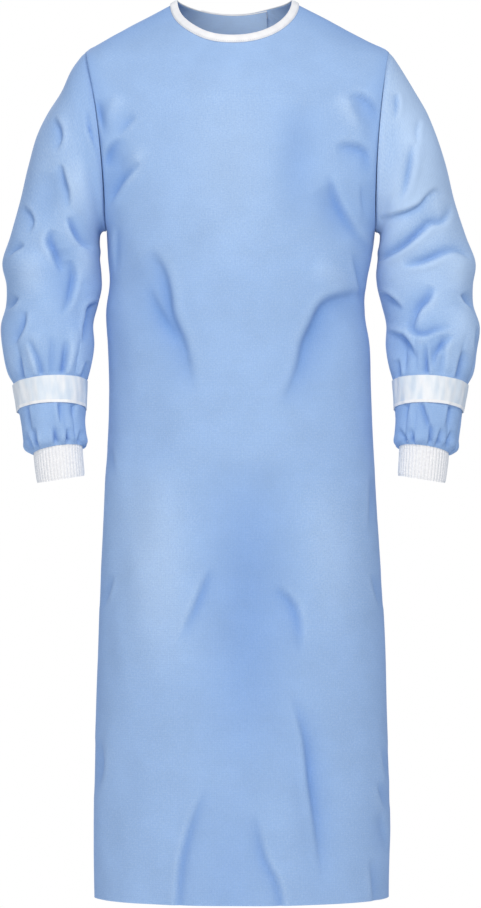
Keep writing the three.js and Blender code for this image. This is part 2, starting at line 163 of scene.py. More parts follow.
# Creases as the front view shows them. Each is a trough of some half width and depth along a line of places
# (x, z), with a raised lip on one side of it: 1 on the viewer's right of a line that goes down, -1 on its
# left. A negative depth is a ridge, and a lip of 0 is none
FRONT_CREASES = (
    ("left waist", 12, 7, 1, (-126, -352), (-107, -385), (-102, -408), (-97, -443), (-83, -474), (-64, -550)),
    ("left waist hollow", 28, 5, 0, (-136, -363), (-118, -408), (-100, -470), (-72, -560)),
    ("beside left waist", 9, 4, 1, (-131, -400), (-111, -444), (-86, -482)),
    ("right waist", 12, 7, -1, (180, -410), (150, -415), (118, -427), (100, -458), (90, -479), (83, -510),
     (56, -572)),
    ("right waist hollow", 28, 6, 0, (172, -430), (126, -446), (106, -486), (72, -575)),
    ("over right waist", 17, -4, 0, (100, -372), (132, -390), (160, -398)),
    ("below right arm", 7, 6.5, 1, (122, -250), (138, -290), (157, -322), (183, -358)),
    ("right side of waist", 6, 3.5, -1, (155, -356), (163, -389), (171, -432)),
    ("left side of waist", 5, 3, -1, (-171, -318), (-173, -350), (-172, -382)),
    ("left armhole hollow", 7, 5.5, -1, (-200, -144), (-195, -166), (-186, -194)),
    ("left armhole upper", 6, 4, 1, (-144, -166), (-156, -179), (-170, -194)),
    ("left armhole bow", 7, 5.5, 1, (-186, -238), (-182, -217), (-173, -205), (-155, -202)),
    ("left armhole lower", 7, 7, 1, (-138, -232), (-160, -254), (-173, -272), (-184, -293)),
    ("right armhole upper", 7, 5, 1, (149, -139), (167, -139), (181, -149), (189, -169)),
    ("right armhole bow", 9, 6, 1, (131, -210), (153, -209), (170, -215), (179, -249)),
    ("left armhole shade", 20, 5, 0, (-179, -210), (-171, -244), (-177, -285)),
    ("left armhole ridge", 11, -5.5, 0, (-130, -210), (-152, -241), (-174, -274)),
    ("left shoulder ridge", 11, -5.5, 0, (-166, -136), (-178, -162), (-185, -194)),
    ("right armhole shade", 15, 5, 0, (156, -147), (173, -164), (184, -194)),
    ("right armhole ridge", 13, -6.5, 0, (131, -136), (153, -166), (173, -202)),
    ("right chest hollow", 26, 7, 0, (84, -150), (80, -240), (84, -330)),
    ("right side shade", 22, 7, 0, (112, -266), (133, -304), (153, -340)),
    ("right armhole seam", 5, 2, -1, (167, -262), (169, -285), (172, -312)),
    ("chest", 70, -3.5, 0, (-20, -90), (-14, -240), (-8, -400)),
    ("between thighs", 60, 13, 0, (10, -640), (12, -780), (6, -1120)),
    ("left thigh", 48, -6, 0, (-120, -640), (-112, -780), (-98, -960)),
    ("right thigh", 44, -4, 0, (112, -660), (120, -780), (132, -900)),
    ("left knee", 7, 5.5, -1, (-42, -790), (-62, -842), (-84, -894)),
    ("right knee", 8, 6, 1, (50, -815), (74, -842), (82, -872), (82, -910)),
    ("left hip", 5, 2, 1, (-179, -622), (-176, -645), (-172, -664)),
    ("right hip", 6, 3, -1, (183, -660), (182, -700), (178, -744)),
    ("left side of knee", 6, 3, 1, (-175, -802), (-184, -828), (-194, -852)),
    ("right side of knee", 6, 3, -1, (181, -800), (188, -826), (195, -852)),
    ("right hem", 8, 6, -1, (72, -966), (90, -1026), (97, -1085), (105, -1141), (114, -1225)),
    ("right hem hollow", 26, 5, 0, (88, -985), (101, -1090), (112, -1275)),
    ("left hem", 7, 5.5, -1, (-48, -1092), (-67, -1141), (-80, -1188), (-86, -1250), (-86, -1330)),
    ("between hem folds", 50, 5.5, 0, (-10, -1080), (-14, -1190), (-12, -1400)),
    ("middle hem", 7, 5.5, 1, (20, -1128), (35, -1192), (49, -1220), (60, -1330)),
    ("right edge upper", 6, 3, -1, (196, -1040), (200, -1066), (204, -1092)),
    ("right edge middle", 7, 3.5, -1, (189, -1090), (196, -1110), (204, -1132)),
    ("right edge lower", 7, 3, 1, (192, -1130), (198, -1160), (202, -1192)),
    ("right edge hem", 7, 3.5, -1, (180, -1196), (184, -1222), (188, -1275)),
    ("left edge", 7, 3.5, 1, (-194, -1030), (-192, -1068), (-200, -1114)),
)
BACK_CREASES = (
    ("left blade", 10, 5, 1, (-142, -300), (-112, -370), (-94, -450), (-84, -560)),
    ("left blade hollow", 30, 8, 0, (-130, -330), (-100, -420), (-84, -560)),
    ("right blade", 10, 5, -1, (142, -320), (118, -400), (110, -480), (112, -600)),
    ("right blade hollow", 30, 8, 0, (130, -350), (112, -450), (112, -600)),
    ("left armhole upper", 8, 3, -1, (-138, -150), (-164, -172), (-184, -200)),
    ("left armhole lower", 8, 4, 1, (-128, -236), (-160, -262), (-182, -292)),
    ("right armhole upper", 8, 3, 1, (130, -146), (158, -166), (182, -196)),
    ("right armhole lower", 8, 4, -1, (122, -230), (154, -258), (180, -296)),
    ("left hip", 8, 3, 1, (-150, -640), (-162, -700), (-168, -760)),
    ("right hip", 8, 3, -1, (156, -660), (164, -720), (166, -790)),
    ("left knee", 10, 4, -1, (-70, -800), (-92, -850), (-100, -900)),
    ("right knee", 10, 4, 1, (78, -830), (98, -870), (104, -930)),
    ("left hem", 11, 5.5, -1, (-90, -950), (-108, -1040), (-114, -1150), (-118, -1330)),
    ("left hem hollow", 34, 7, 0, (-96, -960), (-112, -1100), (-118, -1330)),
    ("right hem", 11, 5.5, 1, (112, -990), (120, -1080), (128, -1180), (138, -1330)),
    ("right hem hollow", 32, 7, 0, (118, -1000), (124, -1130), (138, -1330)),
)
SLEEVE_CREASES = {
    "left": {
        "front": (
            ("beside armhole", 5, 4.5, -1, (-213, -157), (-209, -185), (-200, -210), (-192, -240)),
            ("upper arm", 7, 6, 1, (-261, -166), (-252, -181), (-250, -193), (-256, -215)),
            ("above elbow", 6, 6.5, 1, (-250, -232), (-245, -251), (-240, -268), (-238, -296)),
            ("outer arm", 5, 5, 1, (-304, -288), (-293, -300), (-289, -311), (-293, -328)),
            ("inner elbow", 6, 7.5, -1, (-239, -306), (-231, -326), (-222, -339), (-206, -351)),
            ("elbow", 7, 9, -1, (-263, -322), (-267, -340), (-260, -354), (-254, -368), (-246, -385)),
            ("outer elbow", 5, 5, 1, (-300, -344), (-313, -351), (-325, -361)),
            ("below elbow", 6, 7.5, 1, (-234, -365), (-229, -387), (-232, -405), (-240, -427), (-250, -443)),
            ("inner forearm", 6, 7.5, -1, (-192, -421), (-210, -430), (-214, -446), (-217, -459),
             (-222, -482)),
            ("outer notch", 5, 6, 1, (-308, -416), (-315, -425), (-328, -434)),
            ("outer forearm", 6, 6.5, 1, (-299, -434), (-301, -455), (-308, -470), (-318, -484)),
            ("elbow hollow", 22, 6, 0, (-253, -351), (-245, -387), (-250, -426)),
            ("elbow ridge", 18, -5, 0, (-292, -354), (-292, -386), (-283, -421)),
            ("inner elbow ridge", 13, -5, 0, (-217, -346), (-214, -371), (-217, -398)),
            ("upper arm ridge", 15, -4, 0, (-228, -224), (-225, -268), (-222, -304)),
            ("upper arm hollow", 17, 5, 0, (-267, -243), (-272, -289), (-270, -326)),
            ("first puff", 10, -4, 0, (-285, -462), (-282, -490), (-281, -526)),
            ("second puff", 12, -4, 0, (-229, -457), (-231, -490), (-234, -526)),
            ("first gather", 4, 6, 1, (-306, -498), (-303, -519), (-297, -551)),
            ("second gather", 5, 7, -1, (-293, -476), (-281, -505), (-274, -554)),
            ("third gather", 5, 7, 1, (-240, -476), (-243, -504), (-253, -554)),
            ("fourth gather", 4, 6, -1, (-217, -504), (-221, -524), (-226, -552)),
            ("fold over band", 6, 3.5, -1, (-262, -470), (-262, -500), (-264, -534)),
            ("first under band", 4, 5, 1, (-296, -550), (-293, -584), (-289, -606)),
            ("second under band", 4, 6, -1, (-253, -546), (-251, -572), (-248, -594)),
            ("third under band", 4, 5, 1, (-230, -546), (-231, -566), (-232, -586)),
            ("first over cuff", 4, 6, 1, (-297, -604), (-290, -622), (-282, -644)),
            ("second over cuff", 4, 6, 1, (-284, -598), (-281, -618), (-276, -646)),
            ("third over cuff", 4, 6, -1, (-258, -596), (-257, -614), (-254, -644)),
            ("fourth over cuff", 4, 6, -1, (-238, -596), (-240, -614), (-243, -640)),
            ("fifth over cuff", 4, 5, -1, (-222, -600), (-225, -616), (-230, -638)),
        ),
        "back": (
            ("beside armhole", 6, 3.5, -1, (-220, -160), (-208, -214), (-190, -262)),
            ("elbow", 9, 6.5, 1, (-306, -326), (-270, -352), (-230, -350)),
            ("above elbow", 7, 4.5, -1, (-300, -276), (-272, -300), (-226, -306)),
            ("below elbow", 9, 6.5, -1, (-306, -424), (-264, -402), (-226, -424)),
            ("forearm", 6, 4.5, 1, (-280, -470), (-258, -486), (-248, -512)),
        ),
    },
    "right": {
        "front": (
            ("beside armhole", 5, 4.5, 1, (218, -132), (218, -152), (213, -171)),
            ("shoulder", 4, 3, 1, (249, -168), (245, -188), (245, -210)),
            ("upper arm", 7, 6.5, 1, (240, -202), (236, -238), (229, -265), (216, -290)),
            ("above elbow", 6, 6.5, 1, (193, -308), (216, -303), (236, -297), (250, -289),
             (261, -276), (272, -269), (285, -276)),
            ("elbow", 7, 9.5, -1, (188, -368), (207, -357), (224, -347), (240, -335), (253, -324),
             (264, -315), (282, -311), (290, -301), (295, -282)),
            ("below elbow", 7, 8, -1, (224, -373), (249, -369), (268, -362), (283, -355),
             (300, -351), (321, -362)),
            ("inner forearm", 6, 6.5, 1, (191, -408), (204, -414), (214, -423), (224, -436)),
            ("forearm", 8, 9, 1, (268, -401), (260, -418), (246, -433), (239, -448), (236, -465)),
            ("across forearm", 6, 6.5, -1, (229, -448), (239, -465), (253, -468), (271, -462), (293, -457)),
            ("lower forearm", 6, 7.5, 1, (204, -464), (221, -470), (232, -482), (242, -504)),
            ("outer forearm", 6, 6.5, 1, (293, -470), (281, -483), (271, -495), (267, -515)),
            ("outer notch", 5, 6, -1, (307, -411), (317, -425), (325, -436)),
            ("outer edge", 4, 3.5, -1, (326, -457), (324, -479), (326, -501)),
            ("forearm puff", 18, -6, 0, (307, -426), (313, -462), (307, -506)),
            ("elbow puff", 16, -5, 0, (304, -357), (307, -382), (301, -412)),
            ("lower hollow", 14, 5, 0, (216, -468), (227, -493), (229, -523)),
            ("shoulder ridge", 18, -4, 0, (263, -168), (265, -220), (271, -268)),
            ("inner arm hollow", 16, 5, 0, (216, -160), (213, -213), (204, -276)),
            ("first gather", 4, 6, 1, (218, -502), (222, -524), (227, -552)),
            ("second gather", 5, 7, 1, (256, -480), (258, -510), (262, -556)),
            ("third gather", 5, 7, -1, (309, -490), (303, -518), (295, -552)),
            ("fold over band", 6, 3.5, 1, (282, -468), (280, -500), (276, -536)),
            ("first under band", 4, 5, 1, (236, -546), (233, -568), (229, -590)),
            ("second under band", 5, 6, 1, (247, -546), (254, -574), (266, -606)),
            ("third under band", 4, 5, -1, (292, -550), (289, -576), (284, -598)),
            ("first over cuff", 4, 5, 1, (222, -598), (229, -614), (238, -640)),
            ("second over cuff", 4, 6, 1, (237, -598), (239, -614), (241, -642)),
            ("third over cuff", 4, 6, -1, (263, -592), (261, -614), (258, -644)),
            ("fourth over cuff", 4, 6, -1, (278, -598), (273, -614), (265, -642)),
            ("fifth over cuff", 4, 5, -1, (293, -600), (288, -616), (280, -640)),
        ),
        "back": (
            ("beside armhole", 6, 3.5, 1, (214, -158), (204, -214), (190, -264)),
            ("elbow", 9, 6.5, -1, (302, -336), (262, -360), (220, -346)),
            ("above elbow", 7, 4.5, 1, (294, -284), (264, -304), (216, -306)),
            ("below elbow", 9, 6.5, 1, (302, -434), (262, -412), (218, -434)),
            ("forearm", 6, 4.5, -1, (284, -474), (258, -490), (246, -514)),
        ),
    },
}

# How a crease is formed
LIP_HEIGHT = 0.2  # of a crease's depth
LIP_PLACE = 1.1  # in half widths from the crease's middle
LIP_WIDTH = 0.7
LIP_STEEPNESS = 2.3  # how much steeper a crease is towards its lip
TAIL_SHARE = 0.4  # of a crease's depth fades out slowly on the side away from its lip
TAIL_WIDTH = 2.6  # half widths that it fades over
CREASE_EASE = 0.8  # under 1, a crease is deepest before its middle
CREASE_STEP = 4  # between the places that a crease is read at
CREASE_REACH = 5  # half widths from its line, beyond which it no longer shows
FACING_EASE = 0.5  # how squarely a sleeve's cloth faces front or back where it takes that side's full creases

# Seams, gathers, ribs and edges
SEAM_HOLD = 12  # creases die out over this distance from a seam
SEAM_SINK = 1.8  # how deep the cloth dips along a seam
SEAM_WIDTH = 4
GATHER_SHARPNESS = 1.35  # how much higher the cloth's gathers are than the solid's
GATHER_ROUNDNESS = 0.6  # under 1, gathers are broad and round with narrow valleys between them
RIB_ROUNDNESS = 0.7  # the same for a cuff's ribs
CUFF_TURN = 0.8  # how far a cuff's lower edge turns in
CUFF_TURN_WIDTH = 2.5
EDGE_ANGLE = 70  # faces that meet at more than so many degrees show an edge
RING_OVERLAP = 3  # points of a ring that are read again past its ends, so that it closes smoothly

# Painted shade and highlight in the cloth's colour, by how far in the cloth lies: a paler painted highlight
# on ridges and a darker blue painted shade in hollows
SHADING_DEPTHS = (-1, 19)  # of the painted highlight colour and of the painted shade colour
PLAIN_DYE = 0.3  # where the cloth's own colour stands between those two
CREASE_SHADING = 1.5  # how much a crease shows as painted shade, as a share of its depth
HOLLOW_SHADING = 0.6  # the same for a soft hollow or ridge
SEAM_SHADING = 5  # how much painted shade darkens the cloth along a seam, as if it lay so many millimetres down in a hollow
SEAM_SHADING_WIDTH = 34
SLEEVE_SHADING = {"left": (-3, 2), "right": (-10, 4)}  # the same at the top and at the end of a sleeve, as painted light at its top and painted shade at its end
SPECK_DYE = 10  # the same in the dye's darkest specks

# Slow unevenness of the hanging cloth: the wavelength across and down, the height and a phase
UNEVENNESS = (
    (230, 540, 1.1, 0.4),
    (130, -370, 0.7, 2.1),
    (74, 210, 0.3, 4.4),
)

# The gathers' stray from even spacing, in radians, and the swell of their heights: how much, how often round
# the sleeve and a phase
GATHER_SWAYS = ((0.16, 3, 0.5), (0.09, 5, 2))
GATHER_SWELL = (0.25, 2, 1)

# The ripples of a band: the height, how many go round it, how much their spacing sways and how they slant
BAND_RIPPLES = ((0.5, 9, 2, 2.2), (0.25, 23, 0, -3))

# The binding's section: the distance down from the neckline and the height over the cloth
BINDING_SECTION = ((10.2, 0.5), (9.8, 1.6), (7.5, 2.2), (5, 2.3), (2.5, 2.3), (0.6, 2.0), (-0.8, 1.2))
BINDING_EASE = 9  # columns over which the binding's direction is evened out
BINDING_ROWS = 8  # rows of a panel's grid, from its top, that the binding is laid on

# The lights: the setting that holds the power, and the place and the side of the square lamp in metres
LAMPS = {
    "key_light": ("key", (0.9, -3.1, 1.9), 1.5),
    "fill_light": ("fill", (-1.6, -3.7, 0.4), 2.0),
    "back_light": ("back", (-0.8, 3.4, 1.4), 2.0),
}


def linear(colour):
    """An sRGB hex colour as linear red, green and blue."""
    shares = [int(colour[i : i + 2], 16) / 255 for i in (1, 3, 5)]
    return tuple(s / 12.92 if s <= 0.04045 else ((s + 0.055) / 1.055) ** 2.4 for s in shares)


def lerp(a, b, t):
    return a + (b - a) * t


def smoothstep(values, low, high):
    t = np.clip((values - low) / (high - low), 0, 1)
    return t * t * (3 - 2 * t)


def bell(distance, width=1):
    """1 in the middle, fading out over some half width."""
    return np.exp(-((distance / width) ** 2))


def length_of(vectors):
    return np.linalg.norm(vectors, axis=-1)


def curve_through(at, values, places):
    """A smooth curve through values at rising stations, read at other stations."""
    spread = (slice(None),) + (None,) * (values.ndim - 1)
    spans = np.diff(at)[spread]
    slopes = np.diff(values, axis=0) / spans
    inner = (slopes[:-1] * spans[1:] + slopes[1:] * spans[:-1]) / (spans[1:] + spans[:-1])
    ends = np.concatenate([slopes[:1], inner, slopes[-1:]])
    i = np.clip(np.searchsorted(at, places) - 1, 0, len(at) - 2)
    t = ((places - at[i]) / (at[i + 1] - at[i]))[spread]
    bend = spans[i] * t * (1 - t) * ((1 - t) * ends[i] - t * ends[i + 1])
    return lerp(values[i], values[i + 1], t * t * (3 - 2 * t)) + bend


def between(rows, key, places, column):
    """A column of a table at places between its rows."""
    return curve_through(rows[key], rows[column], places)


def stations(points):
    """How far along a grid each of its rows lies, on the mean of its columns."""
    steps = length_of(np.diff(points[..., :3], axis=0)).reshape(len(points) - 1, -1).mean(axis=1)
    return np.concatenate([[0], np.cumsum(steps)])


def refine(points, counts, closed=False):
    """An evenly spaced finer grid on the smooth surface through a coarse one."""
    for axis, count in enumerate(counts):
        grid = np.moveaxis(points, axis, 0)
        ring = closed and axis == 1
        first, last = 0, len(grid) - 1
        if ring:
            first, last = RING_OVERLAP, len(grid) + RING_OVERLAP
            grid = np.concatenate([grid[-first:], grid, grid[: first + 1]])
        at = stations(grid)
        places = np.linspace(at[first], at[last], count + 1)
        points = np.moveaxis(curve_through(at, grid, places[:-1] if ring else places), 0, axis)
    return points


def normals_of(points, closed):
    """The outward normals of a grid of points."""
    if closed:
        along = np.roll(points, -1, axis=1) - np.roll(points, 1, axis=1)
    else:
        along = np.gradient(points, axis=1)
    normals = np.cross(along, np.gradient(points, axis=0))
    return normals / length_of(normals)[..., None]


def armhole_points(side, angles):
    """Places on the armhole seam by angle, 0 at the shoulder and half a turn at the underarm."""
    t = (1 - np.cos(angles)) / 2
    reach = lerp(SHOULDER_X[side], BODY[side][-1], t) - ARMHOLE_BOW * np.sin(np.pi * t)
    depth = np.where(np.sin(angles) > 0, ARMHOLE_DEPTH["front"], ARMHOLE_DEPTH["back"])
    return np.stack([SIGN[side] * reach, -depth * np.sin(angles), lerp(SHOULDER_Z, UNDERARM_Z, t)], axis=-1)


def panel_edge(face, side, v):
    """A panel's edge: v runs 0 to 1 up the side seam, to 2 up the armhole, to 3 along the shoulder."""
    skirt_z = lerp(HEM_Z, UNDERARM_Z, np.minimum(v, 1))
    skirt = np.stack([SIGN[side] * between(BODY, "z", skirt_z, side), 0 * v, skirt_z], axis=-1)
    armhole = armhole_points(side, -FACING[face] * np.pi * (2 - np.clip(v, 1, 2)))
    along = np.maximum(v - 2, 0)
    reach = lerp(SHOULDER_X[side], NECK_X[side], along)
    shoulder = np.stack([SIGN[side] * reach, 0 * v, lerp(SHOULDER_Z, 0, along)], axis=-1)
    return np.select([v[:, None] <= 1, v[:, None] <= 2], [skirt, armhole], shoulder)


def panel_points(face, u, v):
    """The front or back, u running from -1 at its left edge to 1 at its right one in each row."""
    left, right = (panel_edge(face, side, v)[:, None] for side in SIDES)
    across = np.sin(np.pi / 2 * u)
    arch = np.sqrt(np.maximum(0, 1 - across**2))
    points = lerp(left, right, (1 + across[..., None]) / 2)
    skirt_depth = between(BODY, "z", lerp(HEM_Z, UNDERARM_Z, np.minimum(v, 1)), face)
    depth = np.where(v <= 1, skirt_depth, between(CHEST, "v", v, face))[:, None]
    points[..., 1] = FACING[face] * depth * arch + points[..., 1] * (1 - arch) ** EDGE_REACH
    rise = np.where(v > 1, between(CHEST, "v", v, face + "_z") - left[:, 0, 2], 0)[:, None]
    curve = lerp(SHOULDER_CURVE, NECK_CURVE[face], np.maximum(0, v - 2))[:, None]
    points[..., 2] += rise * arch**curve
    return points


def seam_distance(points, seam_columns):
    """How far each point of a panel lies from its row's nearest seam."""
    return np.min([length_of(points - points[:, [c]]) for c in seam_columns], axis=0)


def relax_chest(points, seam_columns):
    """Evens out a panel's chest and shoulders from row to row, less and less towards its seams."""
    rows = slice(SKIRT_ROWS - 1, -1)
    for _ in range(RELAX_PASSES):
        below, here, above = points[SKIRT_ROWS - 2 : -2], points[rows], points[SKIRT_ROWS:]
        near = length_of(here - below)
        share = near / (near + length_of(here - above))
        free = smoothstep(seam_distance(here, seam_columns), 0, RELAX_HOLD)[..., None]
        moved = lerp(here, lerp(below, above, share[..., None]), free / 2)
        points = np.concatenate([points[: SKIRT_ROWS - 1], moved, points[-1:]])
    return points


def panel_rows():
    even = np.linspace(0, 1, SKIRT_ROWS + 1)
    skirt = even - ROW_CROWDING * np.sin(2 * np.pi * even) / (2 * np.pi)
    armhole = np.linspace(1, 2, ARMHOLE_ROWS + 1)[1:]
    return np.concatenate([skirt, armhole, np.linspace(2, 3, SHOULDER_ROWS + 1)[1:]])


def crease_depth(creases, x, z):
    """How far the creases press in at places of the front view, and how much painted shade that puts in the
    cloth's colour: darker in the troughs, with a paler painted highlight on the lips and ridges.
    """
    depth, dyed_with_painted_shade = np.zeros_like(x), np.zeros_like(x)
    for _, width, deepest, lip, *line in creases:
        line = np.array(line, dtype=float)
        at = stations(np.pad(line, ((0, 0), (0, 1)))[:, None])
        places = np.linspace(0, at[-1], int(at[-1] / CREASE_STEP) + 2)
        path = curve_through(at, line, places)
        way = np.gradient(path, axis=0)
        way /= length_of(way)[:, None]
        low, high = path.min(axis=0) - CREASE_REACH * width, path.max(axis=0) + CREASE_REACH * width
        close = (x > low[0]) & (x < high[0]) & (z > low[1]) & (z < high[1])
        place = np.stack([x[close], z[close]], axis=-1)
        nearest = length_of(place[:, None] - path).argmin(axis=1)
        away = place - path[nearest]
        forward = np.einsum("ij,ij->i", way[nearest], away)
        aside = (way[nearest, 0] * away[:, 1] - way[nearest, 1] * away[:, 0]) / width
        t = np.clip((places[nearest] + forward) / at[-1], 0, 1)
        trough = bell(aside)
        if lip:
            towards_lip = aside * lip
            steep = bell(LIP_STEEPNESS * aside)
            gentle = lerp(trough, bell(aside, TAIL_WIDTH), TAIL_SHARE)
            ridge = LIP_HEIGHT * bell(towards_lip - LIP_PLACE, LIP_WIDTH)
            trough = np.where(towards_lip > 0, steep, gentle) - ridge
        pressed = deepest * np.sin(np.pi * t**CREASE_EASE) * trough
        depth[close] += pressed
        # Painted shade in the trough, and painted highlight on the lip and on ridges
        dyed_with_painted_shade[close] += pressed * (CREASE_SHADING if lip else HOLLOW_SHADING)
    return depth, dyed_with_painted_shade


def unevenness(points):
    """The slow waves of hanging cloth."""
    x, y, z = np.moveaxis(points, -1, 0)
    waves = [h * np.sin(2 * np.pi * ((x - y) / a + z / b) + phase) for a, b, h, phase in UNEVENNESS]
    return np.sum(waves, axis=0)


def seam_shade(away):
    """How much painted shade darkens the cloth at some distance from a seam."""
    return SEAM_SHADING * bell(away, SEAM_SHADING_WIDTH)


def creased_panel(face, u, seam_columns, grid, share, lifted=None):
    """A panel's fine grid with its creases, its normals, and the painted shade and highlight for its colour.
    """
    coarse = relax_chest(panel_points(face, u, panel_rows()), seam_columns)
    if lifted is not None:
        coarse = lifted(coarse)
    points = refine(coarse, grid)
    normals = normals_of(points, False)
    away = seam_distance(points, seam_columns)
    creases = {"front": FRONT_CREASES, "back": BACK_CREASES}[face]
    depth, dyed_with_painted_shade = crease_depth(creases, points[..., 0], points[..., 2])
    press = (depth - unevenness(points)) * share * smoothstep(away, 0, SEAM_HOLD)
    sink = SEAM_SINK * bell(away, SEAM_WIDTH)
    points = points - normals * (press + sink)[..., None]
    # The painted shading: the creases' painted shade and highlight, painted shade in the dip along a seam,
    # and painted shade spreading out from the seams
    return points, normals_of(points, False), dyed_with_painted_shade + sink + seam_shade(away)


def front_panel(share):
    u = np.tile(np.linspace(-1, 1, FRONT_COLUMNS + 1), (len(panel_rows()), 1))
    return creased_panel("front", u, (0, -1), FRONT_GRID, share)


def back_panel(side, share):
    """A back panel, between its side seam and the far edge of the lap."""
    v = panel_rows()
    edges = [panel_edge("back", s, v) for s in SIDES]
    width = length_of(edges[1] - edges[0])
    lap_edge = -SIGN[side] * 2 * np.arcsin(LAP / width) / np.pi
    along = np.linspace(0, 1, BACK_COLUMNS + 1)
    if side == "left":
        u = lerp(lap_edge[:, None], -1, along)
        return creased_panel("back", u, (-1,), BACK_GRID, share)

    def lifted(points):
        middle = ((edges[0] + edges[1]) / 2)[:, None, 0]
        lift = LAP_LIFT * (1 - smoothstep(points[..., 0] - middle, LAP / 2, LAP / 2 + LAP_EASE))
        return points + normals_of(points, False) * lift[..., None]

    return creased_panel("back", lerp(1, lap_edge[:, None], along), (0,), BACK_GRID, share, lifted)


def ring_angles(side, count):
    return np.linspace(0, SIGN[side] * 2 * np.pi, count + 1)[:-1]


def tube_points(sections, side, angles):
    """The rings of a tube, by angle from its outer edge over its front."""
    columns = {name: values[:, None] for name, values in sections.items()}
    t = (1 - np.cos(angles)) / 2
    forward = columns["depth"] * np.sin(angles)
    lean = np.radians(columns["lean"])
    x = SIGN[side] * lerp(columns[side + "_out"], columns[side + "_in"], t)
    z = lerp(columns["out_z"], columns["in_z"], t) + forward * np.sin(lean)
    return np.stack([x, columns["mid_y"] - forward * np.cos(lean), z], axis=-1)


def puckers(angles, count):
    """Uneven gathers round a ring: round ridges with narrow valleys between them."""
    uneven = angles + sum(much * np.sin(often * angles + phase) for much, often, phase in GATHER_SWAYS)
    swell, often, phase = GATHER_SWELL
    height = 1 - swell + swell * np.sin(often * angles + phase)
    return height * (2 * np.abs(np.cos(count / 2 * uneven)) ** GATHER_ROUNDNESS - 1)


def creased_sleeve(side, count, share):
    """A sleeve's fine grid with its creases and gathers, from the armhole to the cuff, its normals, and the
    painted shade and highlight for its colour.
    """
    angles = ring_angles(side, 2 * ARMHOLE_ROWS)
    rings = np.concatenate([armhole_points(side, angles)[None], tube_points(SLEEVE, side, angles)])
    gather = np.broadcast_to(np.append(0, SLEEVE["gather"])[:, None], rings.shape[:2])
    turn = [np.broadcast_to(f(angles), rings.shape[:2]) for f in (np.cos, np.sin)]
    fine = refine(np.concatenate([rings, np.stack([gather, *turn], axis=-1)], axis=-1), SLEEVE_GRID, True)
    points = fine[..., :3]
    normals = normals_of(points, True)
    x, z = points[..., 0], points[..., 2]
    press, dyed_with_painted_shade = -unevenness(points), 0
    for face, creases in SLEEVE_CREASES[side].items():
        facing = smoothstep(normals[..., 1] * FACING[face], 0, FACING_EASE)
        face_depth, face_painted_shade = crease_depth(creases, x, z)
        press = press + face_depth * facing
        dyed_with_painted_shade = dyed_with_painted_shade + face_painted_shade * facing
    away = stations(points)[:, None]
    band = stations(rings)[BAND_RINGS]
    off_band = np.maximum(band[0] - away, away - band[-1])
    holds = ((away, SEAM_HOLD), (off_band, BAND_HOLD), (away[-1] - away, END_HOLD))
    held = np.prod([smoothstep(distance, 0, reach) for distance, reach in holds], axis=0)
    sink = SEAM_SINK * bell(away, SEAM_WIDTH)
    gathers = fine[..., 3] * GATHER_SHARPNESS * puckers(np.arctan2(fine[..., 5], fine[..., 4]), count)
    points = points - normals * (press * held * share + sink - gathers)[..., None]
    # Painted shading of a sleeve: the creases' painted shade and highlight, painted highlight on the gathers'
    # puffs and painted shade between them, painted shade in the seam's dip and along the seam, and painted
    # light at the top fading to painted shade at the end
    top_to_end_shading = lerp(*SLEEVE_SHADING[side], away / away[-1])
    return points, normals_of(points, True), dyed_with_painted_shade * held + sink - gathers + top_to_end_shading + seam_shade(away)


def band_points(side, lift):
    """The strip round a sleeve, lifted off the cloth, and its normals."""
    sections = {name: values[BAND_SECTIONS] for name, values in SLEEVE.items()}
    angles = ring_angles(side, 2 * ARMHOLE_ROWS)
    points = refine(tube_points(sections, side, angles), BAND_GRID, True)
    normals = normals_of(points, True)
    turns = ring_angles(side, BAND_GRID[1])
    down = np.linspace(0, 1, BAND_GRID[0] + 1)[:, None]
    ripple = sum(
        height * np.sin(count * turns + sway * np.sin(2 * turns) + slant * down)
        for height, count, sway, slant in BAND_RIPPLES
    )
    points = points + normals * (lift + ripple)[..., None]
    return points, normals_of(points, True)


def cuff_points(side, ribs, rib_height):
    """The ribbed cuff and its normals."""
    points = refine(tube_points(CUFF, side, ring_angles(side, 2 * ARMHOLE_ROWS)), CUFF_GRID, True)
    normals = normals_of(points, True)
    turns = ring_angles(side, CUFF_GRID[1])
    rib = rib_height * (np.abs(np.cos(ribs / 2 * turns)) ** RIB_ROUNDNESS - 1)
    down = stations(points)
    edge = CUFF_TURN * bell(down[-1] - down, CUFF_TURN_WIDTH)[:, None]
    points = points + normals * (rib - edge)[..., None]
    return points, normals_of(points, True)


def binding_points(panels, thickness):
    """The tape round the neckline, on the outside of the panels' top edges, and its normals."""
    left, front, right = (np.concatenate(panel[:2], axis=-1)[: -BINDING_ROWS - 1 : -1] for panel in panels)
    cloth = np.concatenate([left[:, :-1], front, right[:, 1:]], axis=1)
    columns, edge = cloth[..., :3], cloth[0, :, :3]
    kernel = np.ones(2 * BINDING_EASE + 1) / (2 * BINDING_EASE + 1)
    padded = np.pad(cloth[0, :, 3:], ((BINDING_EASE, BINDING_EASE), (0, 0)), mode="edge")
    out = np.stack([np.convolve(padded[:, i], kernel, "valid") for i in range(3)], axis=-1)
    out /= length_of(out)[:, None]
    beyond = edge - columns[1]
    beyond /= length_of(beyond)[:, None]
    rows = []
    for down, height in BINDING_SECTION:
        inset = np.array([max(down, 0)])
        places = [curve_through(stations(c[:, None]), c, inset)[0] for c in np.moveaxis(columns, 1, 0)]
        rows.append(np.array(places) + out * (thickness / 2 + height) + beyond * max(-down, 0))
    points = np.array(rows)
    return points, normals_of(points, False)


